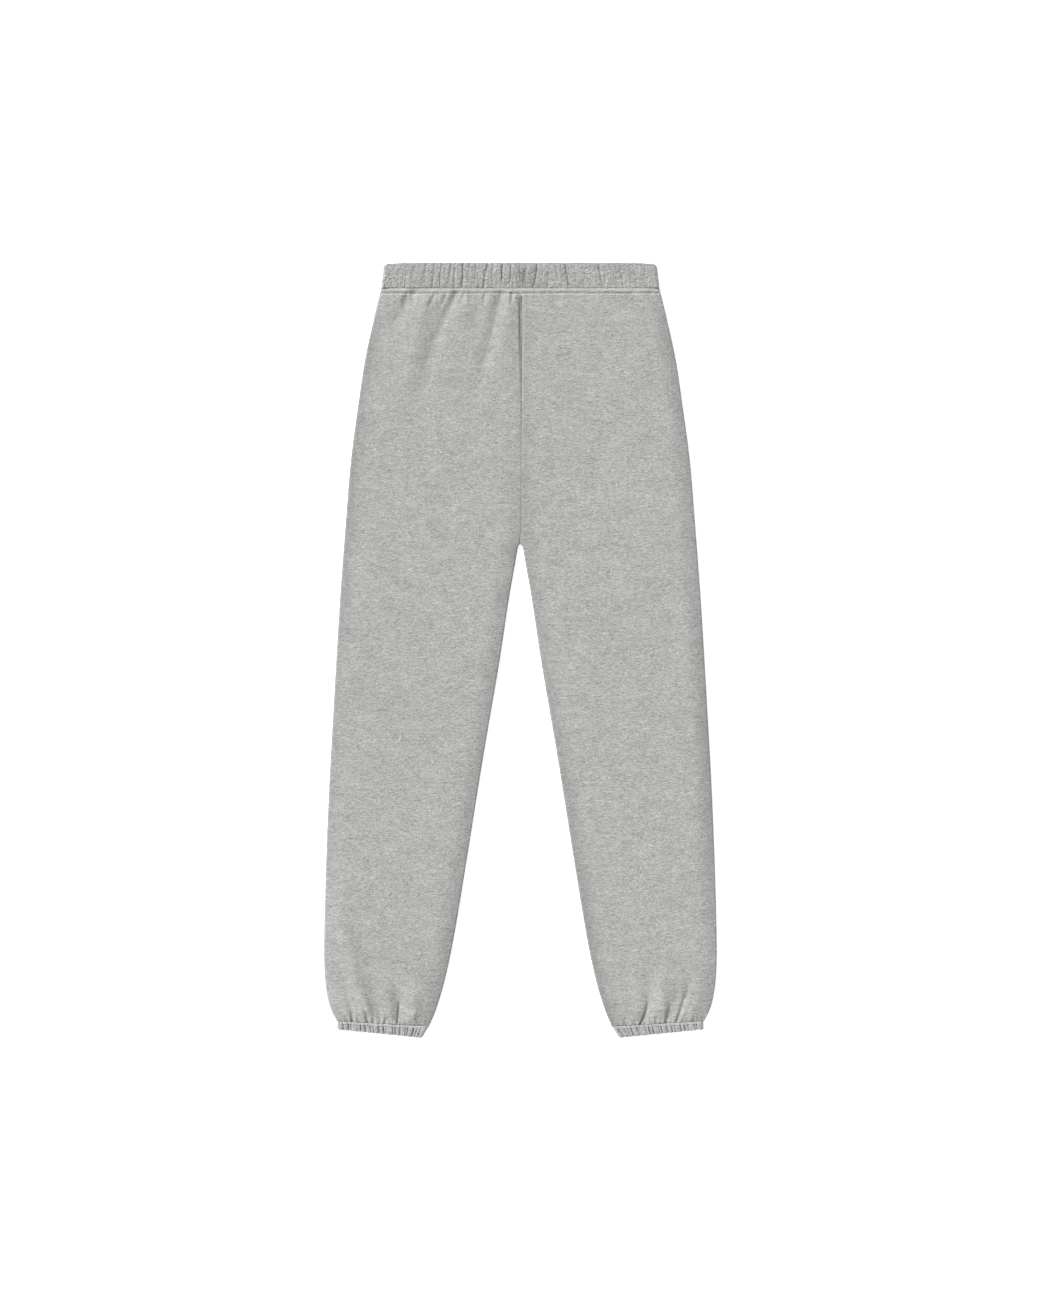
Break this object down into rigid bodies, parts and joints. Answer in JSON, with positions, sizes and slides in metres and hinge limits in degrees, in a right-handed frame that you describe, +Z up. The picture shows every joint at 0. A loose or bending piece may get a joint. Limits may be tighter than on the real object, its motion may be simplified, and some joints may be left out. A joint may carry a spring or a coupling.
{
  "type": "jogger sweatpants laid flat",
  "caption": "Jogger sweatpants laid flat with the back up: gathered elastic waistband, straight full legs and narrow gathered ankle casings.",
  "frame": {"origin": "middle of the underside, on the surface the garment lies on", "axes": "+Y along the legs towards the waistband, +X across the garment to the right as seen from above, +Z up from the surface"},
  "size_m": [0.511, 1.008, 0.0112],
  "materials": {
    "fleece": "brushed grey marl fleece",
    "band": "brushed grey marl fleece, stretched over elastic"
  },
  "bodies": {
    "root": {"back_left": "fleece", "back_right": "fleece", "front_left": "fleece", "front_right": "fleece", "waistband": "band", "ankle_left": "fleece", "ankle_right": "fleece"}
  },
  "joints": []
}
